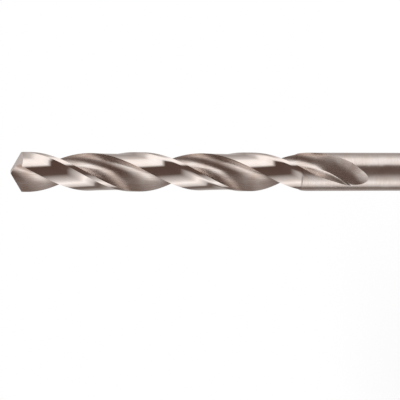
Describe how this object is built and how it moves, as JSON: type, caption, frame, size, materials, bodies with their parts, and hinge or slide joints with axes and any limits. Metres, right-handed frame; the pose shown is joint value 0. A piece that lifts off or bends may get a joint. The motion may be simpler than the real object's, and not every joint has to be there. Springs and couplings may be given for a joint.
{
  "type": "twist drill bit",
  "caption": "Ground steel twist drill with a plain round shank, right-hand helical flutes, narrow margins and a conical point with a chisel edge.",
  "frame": {"origin": "centre of the shank's end face, on the drill's axis", "axes": "+Z along the drill's axis from the shank to the point; the two cutting lips run parallel to X"},
  "size_m": [0.0088, 0.0088, 0.125],
  "materials": {
    "ground_steel": "bright ground steel with fine grinding lines"
  },
  "bodies": {
    "root": {"drill_bit": "ground_steel"}
  },
  "joints": []
}
